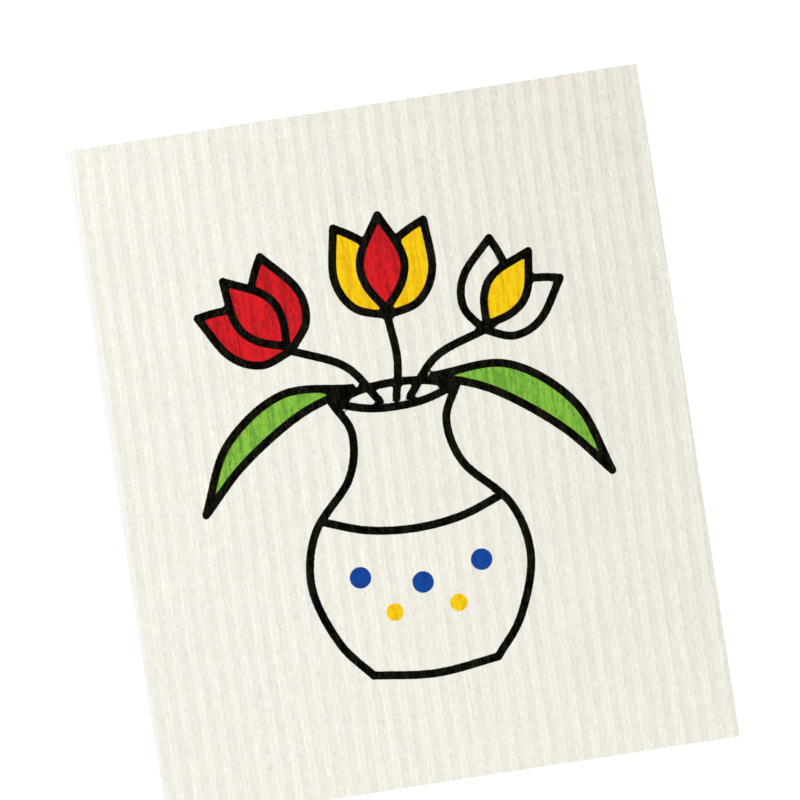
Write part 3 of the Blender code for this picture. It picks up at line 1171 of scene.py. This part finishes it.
    def walls(self, rim: Array) -> list[Array]:
        """Carry the front's rim down the cut edges.

        Args:
            rim: The rim's points.

        Returns:
            The points of each level below it, a little rough as the die leaves them.
        """
        x, y = rim[:, 0], rim[:, 1]
        floor = self.back_height(x, y)
        on_side = np.abs(x) > self.width / 2 - self.on_edge
        on_end = np.abs(y) > self.length / 2 - self.on_edge
        out_x, out_y = np.where(on_side, np.sign(x), 0.0), np.where(on_end, np.sign(y), 0.0)
        along = np.where(on_side, y, x)
        levels = []
        for level in range(1, self.wall_levels):
            row = np.full_like(along, self.wall_marks_apart * level)
            out = self.wall_swell + self.wall_marks(along, row)
            height = rim[:, 2] + (floor - rim[:, 2]) * (level / self.wall_levels)
            levels.append(np.column_stack([x + out * out_x, y + out * out_y, height]))
        return levels

    def wall_faces(self, loops: list[Array], back_rim: Array, points: Array) -> list[list[int]]:
        """List the faces of the cut edges.

        Args:
            loops: The indices of the front's rim and of each level below it.
            back_rim: The indices of the back's rim, which has fewer points.
            points: All the points.

        Returns:
            The faces, each facing out.
        """
        faces = []
        for above, below in zip(loops, loops[1:]):
            quads = (above, below, np.roll(below, -1), np.roll(above, -1))
            faces += np.column_stack(quads).tolist()
        upper, lower = loops[-1], back_rim
        upper_turn, lower_turn = (
            np.append(self.rim_turn(points[loop, 0], points[loop, 1]), 4.0)
            for loop in (loops[0], back_rim))
        i = j = 0
        while i < len(upper) or j < len(lower):
            top, foot = int(upper[i % len(upper)]), int(lower[j % len(lower)])
            if j == len(lower) or (i < len(upper) and upper_turn[i + 1] <= lower_turn[j + 1]):
                i += 1
                faces.append([top, foot, int(upper[i % len(upper)])])
            else:
                j += 1
                faces.append([top, foot, int(lower[j % len(lower)])])
        return faces

    def keep_numbers(self, mesh: bpy.types.Mesh, points: Array, ribs: dict[Relief, Array],
                     front_count: int) -> None:
        """Keep the ribs, the cut edge, the mask for the left edge's painted glare and the ink
        depths on the mesh.

        Args:
            mesh: The cloth's mesh.
            points: All its points.
            ribs: The numbers that come from the ribs.
            front_count: How many of the points are on the front, which come first.
        """
        design, (x, y) = self.print_design, points[:, :2].T
        depths = design.ink_depths(x[:front_count], y[:front_count],
                                   design.scale(self.width, self.length))
        # The painted glare's mask: along the left edge, stronger towards +Y
        far = eased((y / self.length - self.pale_from) / self.pale_rise)
        pale = 1 - eased((x + self.width / 2) / self.pale_width)
        values = {**ribs, Relief.CUT: 1 - eased(self.inward(x, y) / self.lip_width),
                  Relief.PALE: pale * (self.pale_near + (1 - self.pale_near) * far)}
        for ink, depth in depths.items():
            values[ink] = np.full(len(points), -design.reach)
            values[ink][:front_count] = depth
        for number, numbers in values.items():
            attribute = mesh.attributes.new(number.value, "FLOAT", "POINT")
            attribute.data.foreach_set("value", numbers.astype(np.float32))

    def add_map(self, mesh: bpy.types.Mesh, points: Array, front_faces: int,
                back_faces: int) -> None:
        """Lay out a map for the export, most of it for the printed front.

        Args:
            mesh: The cloth's mesh.
            points: All its points.
            front_faces: How many of its faces are on the front, which come first.
            back_faces: How many are on the back, which come next.
        """
        corner_points = np.empty(len(mesh.loops), np.int32)
        mesh.loops.foreach_get("vertex_index", corner_points)
        across, along = self.shares(*points[corner_points, :2].T)
        front, back, wall = np.split(np.arange(len(corner_points)),
                                     [4 * front_faces, 4 * (front_faces + back_faces)])
        turn = np.arctan2(along[wall] - 0.5, across[wall] - 0.5) / (2 * math.pi) + 0.5
        height = np.clip(points[corner_points[wall], 2] / self.thickness, 0, self.wall_map_reach)
        places = np.concatenate([self.front_map.laid(across[front], along[front]),
                                 self.back_map.laid(across[back], along[back]),
                                 self.wall_map.laid(turn, height)])
        layer = mesh.uv_layers.new(name="OFBake")
        layer.data.foreach_set("uv", places.astype(np.float32).ravel())


@dataclass(frozen=True)
class FibreFinish:
    """Pale, matt cotton and cellulose fibre."""

    pale: Colour = srgb(255, 253, 248)
    dull: Colour = srgb(236, 232, 220)
    patches: Pattern = Pattern((0.9, 0.9, 0.9), levels=(-0.8, 0.1))
    roughness: float = 0.9
    specular: float = 0.2

    def dress(self, piece: bpy.types.Object) -> None:
        """Give a piece this finish.

        Args:
            piece: The piece.
        """
        board = Board(bpy.data.materials.new("loose_fibre"))
        share = board.marks(board.millimetres(), self.patches)
        piece.data.materials.append(board.finish(board.add("ShaderNodeBsdfPrincipled", {}, {
            "Base Color": board.mix(share, self.dull, self.pale), "Roughness": self.roughness,
            "Specular IOR Level": self.specular})))


@dataclass
class LooseFibres:
    """The short fibres that lie on the front and stand out of the cut edges."""

    cloth: RibbedCloth
    finish: FibreFinish = field(default_factory=FibreFinish)
    half_width: float = 0.05
    half_height: float = 0.014
    end_thickness: float = 0.45
    height_share: float = 0.9
    stray_path: tuple[Point, ...] = ((81.2, 45.9), (82.4, 44.5), (83.1, 43.1), (83.5, 41.9))
    stray_thickness: float = 6.5
    on_front: int = 110
    tries_each: int = 3
    clear_of_ink: float = 2.6
    clear_of_edge: float = 3.0
    front_lean: float = 0.35
    front_length: Span = (0.9, 2.6)
    front_curl: float = 0.9
    front_thickness: Span = (0.6, 1.2)
    front_steps: int = 6
    on_edges: int = 160
    edge_reach: float = 0.99
    edge_height: Span = (0.4, 1.2)
    edge_length: Span = (0.15, 0.5)
    edge_curl: float = 1.2
    edge_rise: float = 0.3
    edge_root: float = 0.05
    edge_thickness: Span = (0.35, 0.6)
    edge_steps: int = 4
    seed: int = 23

    def build(self) -> bpy.types.Object:
        """Build every fibre as a flat, round-edged spline of one curve.

        Returns:
            The fibres.
        """
        random = np.random.default_rng(self.seed)
        curve = bpy.data.curves.new("loose_fibres", "CURVE")
        curve.dimensions = "3D"
        curve.twist_mode = "Z_UP"
        curve.extrude = (self.half_width - self.half_height) * MM
        curve.bevel_depth = self.half_height * MM
        curve.bevel_resolution = 1
        curve.use_fill_caps = True
        self.stray_fibre(curve)
        for start in self.bare_places(random)[:self.on_front]:
            self.front_fibre(curve, random, start)
        for _ in range(self.on_edges):
            self.edge_fibre(curve, random)
        piece = in_scene("loose_fibres", curve)
        self.finish.dress(piece)
        return piece

    def add_spline(self, curve: bpy.types.Curve, points: Array, thickness: float) -> None:
        """Add a fibre through points in millimetres, thinner at its two ends.

        Args:
            curve: The fibres' curve.
            points: The fibre's points.
            thickness: Its thickness, against a usual fibre's.
        """
        spline = curve.splines.new("POLY")
        spline.points.add(len(points) - 1)
        for i, (knot, point) in enumerate(zip(spline.points, points)):
            knot.co = (*(point * MM), 1.0)
            knot.tilt = math.pi / 2
            is_end = i in (0, len(points) - 1)
            knot.radius = thickness * (self.end_thickness if is_end else 1.0)

    def bare_places(self, random: np.random.Generator) -> Array:
        """Pick places on the front that are clear of the print.

        Args:
            random: Where the chance comes from.

        Returns:
            The places, X and Y for each.
        """
        size = np.array([self.cloth.width, self.cloth.length])
        places = random.uniform(-1, 1, (self.tries_each * self.on_front, 2))
        places = places * (size / 2 - self.clear_of_edge)
        design = self.cloth.print_design
        scale = design.scale(self.cloth.width, self.cloth.length)
        depths = design.ink_depths(places[:, 0], places[:, 1], scale)
        return places[np.max(list(depths.values()), axis=0) < -self.clear_of_ink]

    def laid(self, x: Array, y: Array, thickness: float = 1.0) -> Array:
        """Lay a fibre's path on the front's surface, sunk into it a little."""
        height = self.cloth.front_height(x - self.cloth.sideways(x, y), y)
        return np.column_stack([x, y, height + self.height_share * self.half_height * thickness])

    def stray_fibre(self, curve: bpy.types.Curve) -> None:
        """Lay the one wide fibre that crosses a rib near the right edge.

        Args:
            curve: The fibres' curve.
        """
        path = np.array(self.cloth.print_design.smooth_run(self.stray_path))
        laid = self.laid(path[:, 0], path[:, 1], self.stray_thickness)
        self.add_spline(curve, laid, self.stray_thickness)

    def front_fibre(self, curve: bpy.types.Curve, random: np.random.Generator,
                    start: Array) -> None:
        """Lay one short fibre on the front, mostly along the ribs.

        Args:
            curve: The fibres' curve.
            random: Where the chance comes from.
            start: The place where the fibre starts.
        """
        heading = math.pi / 2 + random.normal(0, self.front_lean)
        length = random.uniform(*self.front_length)
        curl = random.uniform(-self.front_curl, self.front_curl)
        angle = heading + curl * np.linspace(0, 1, self.front_steps)
        x = start[0] + length * np.cumsum(np.cos(angle)) / self.front_steps
        y = start[1] + length * np.cumsum(np.sin(angle)) / self.front_steps
        self.add_spline(curve, self.laid(x, y), random.uniform(*self.front_thickness))

    def edge_fibre(self, curve: bpy.types.Curve, random: np.random.Generator) -> None:
        """Stand one very short fibre out of a cut edge.

        Args:
            curve: The fibres' curve.
            random: Where the chance comes from.
        """
        half_x, half_y = self.cloth.width / 2, self.cloth.length / 2
        on_side = random.random() < half_y / (half_x + half_y)
        sign = random.choice((-1.0, 1.0))
        place = random.uniform(-self.edge_reach, self.edge_reach)
        height = random.uniform(*self.edge_height)
        length = random.uniform(*self.edge_length)
        curl = random.uniform(-self.edge_curl, self.edge_curl)
        share = np.linspace(0, 1, self.edge_steps)
        out = length * share - self.edge_root
        beside = length * curl * share**2
        up = height + self.edge_rise * length * share
        if on_side:
            points = np.column_stack([sign * (half_x + out), half_y * place + beside, up])
        else:
            points = np.column_stack([half_x * place + beside, sign * (half_y + out), up])
        self.add_spline(curve, points, random.uniform(*self.edge_thickness))


@dataclass(frozen=True)
class SoftLamp:
    """A square soft lamp that points at the middle of the cloth."""

    name: str
    place_m: Triple
    side_m: float
    watts: float

    def hang(self) -> None:
        """Hang the lamp in its place, out of the camera's sight."""
        data = bpy.data.lights.new(self.name, "AREA")
        data.shape, data.size, data.energy = "SQUARE", self.side_m, self.watts
        lamp = in_scene(self.name, data)
        lamp.location = self.place_m
        lamp.rotation_euler = Vector(self.place_m).to_track_quat("Z", "Y").to_euler()
        lamp.visible_camera = False


@dataclass(frozen=True)
class Studio:
    """The pale floor, the soft light mostly from the left and the camera straight above."""

    picture_width: float = 234.95
    picture_centre: Point = (1.42, 12.85)
    turn_degrees: float = -8.76
    lens: float = 85.0
    sensor: float = 36.0
    clip_m: Span = (0.01, 20.0)
    key: SoftLamp = SoftLamp("key_lamp", (-0.4, 0.3, 0.5), 0.25, 2.03)
    fill: SoftLamp = SoftLamp("fill_lamp", (0.1, -0.45, 0.4), 0.3, 1.03)
    sky_strength: float = 0.53
    floor_side_m: float = 6.0
    floor_drop: float = 0.1
    floor_dull: Colour = srgb(247, 247, 247)
    floor_light: Colour = srgb(250, 250, 250)
    floor_patches: Pattern = Pattern((2.0, 2.0, 2.0), levels=(-1.0, 1.0))
    near_glow: Colour = (0.38, 0.38, 0.38)
    far_glow: Colour = (0.55, 0.55, 0.55)
    glow_rise_m: Span = (0.2, 0.8)

    def camera(self, top: float) -> None:
        """Hang the camera over the cloth so that the picture's width fits its top.

        Args:
            top: The height of the cloth's top.
        """
        data = bpy.data.cameras.new("overhead_camera")
        data.lens, data.sensor_width = self.lens, self.sensor
        data.clip_start, data.clip_end = self.clip_m
        camera = in_scene("overhead_camera", data)
        height = top + self.picture_width * self.lens / self.sensor
        camera.location = Vector((*self.picture_centre, height)) * MM
        camera.rotation_euler = (0.0, 0.0, math.radians(self.turn_degrees))
        bpy.context.scene.camera = camera

    def sky(self) -> None:
        """Light evenly from all round, and show plain white behind everything."""
        board = Board(bpy.data.worlds.new("studio_sky"))
        seen, glossy, through = (board.add("ShaderNodeLightPath", output=f"Is {ray} Ray")
                                 for ray in ("Camera", "Glossy", "Transmission"))
        shown = seen.larger(glossy).larger(through)
        strength = self.sky_strength + shown * (1.0 - self.sky_strength)
        background = board.add("ShaderNodeBackground", {}, {"Color": (1.0, 1.0, 1.0),
                                                            "Strength": strength})
        bpy.context.scene.world = board.finish(background)

    def floor(self) -> bpy.types.Object:
        """Lay a wide pale floor that shows white where nothing shades it.

        Returns:
            The floor.
        """
        half = self.floor_side_m / 2
        mesh = bpy.data.meshes.new("floor")
        corners = [(-half, -half, 0), (half, -half, 0), (half, half, 0), (-half, half, 0)]
        mesh.from_pydata(corners, [], [(0, 1, 2, 3)])
        board = Board(bpy.data.materials.new("pale_floor"))
        metres = board.metres()
        tone = board.marks(metres, self.floor_patches)
        matt = {"Base Color": board.mix(tone, self.floor_dull, self.floor_light),
                "Roughness": 1.0, "Specular IOR Level": 0.0}
        from_middle = board.add("ShaderNodeVectorMath", {"operation": "LENGTH"}, {0: metres},
                                "Value")
        glow = board.mix(board.ramp(from_middle, self.glow_rise_m), self.near_glow, self.far_glow)
        shaded = board.add("ShaderNodeBsdfPrincipled", {}, matt)
        lifted = board.add("ShaderNodeBsdfPrincipled", {}, {
            **matt, "Emission Color": glow, "Emission Strength": 1.0})
        seen = board.add("ShaderNodeLightPath", output="Is Camera Ray")
        shown = board.add("ShaderNodeMixShader", {}, {"Fac": seen, 1: shaded, 2: lifted})
        mesh.materials.append(board.finish(shown))
        floor = in_scene("floor", mesh)
        floor.location.z = -self.floor_drop * MM
        return floor


def main() -> None:
    """Build the cloth, its loose fibres and the studio, in that order."""
    logging.basicConfig(level=logging.INFO, format="%(name)s: %(message)s")
    bpy.context.scene.view_settings.view_transform = "Standard"
    low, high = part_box(CLOTH_NODE)
    width, length, thickness = ((b - a) / MM for a, b in zip(low, high))

    cloth = RibbedCloth(width, length, thickness)
    sheet = cloth.build()
    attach(sheet, "root")
    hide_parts(CLOTH_NODE)
    LOG.info("%s: %d faces", sheet.name, len(sheet.data.polygons))

    fibres = LooseFibres(cloth).build()
    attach(fibres, "root")
    LOG.info("%s: %d fibres", fibres.name, len(fibres.data.splines))

    studio = Studio()
    floor = studio.floor()
    studio.sky()
    studio.key.hang()
    studio.fill.hang()
    studio.camera(thickness)
    LOG.info("studio: floor, sky, two lamps and camera")


if __name__ == "__main__":
    main()
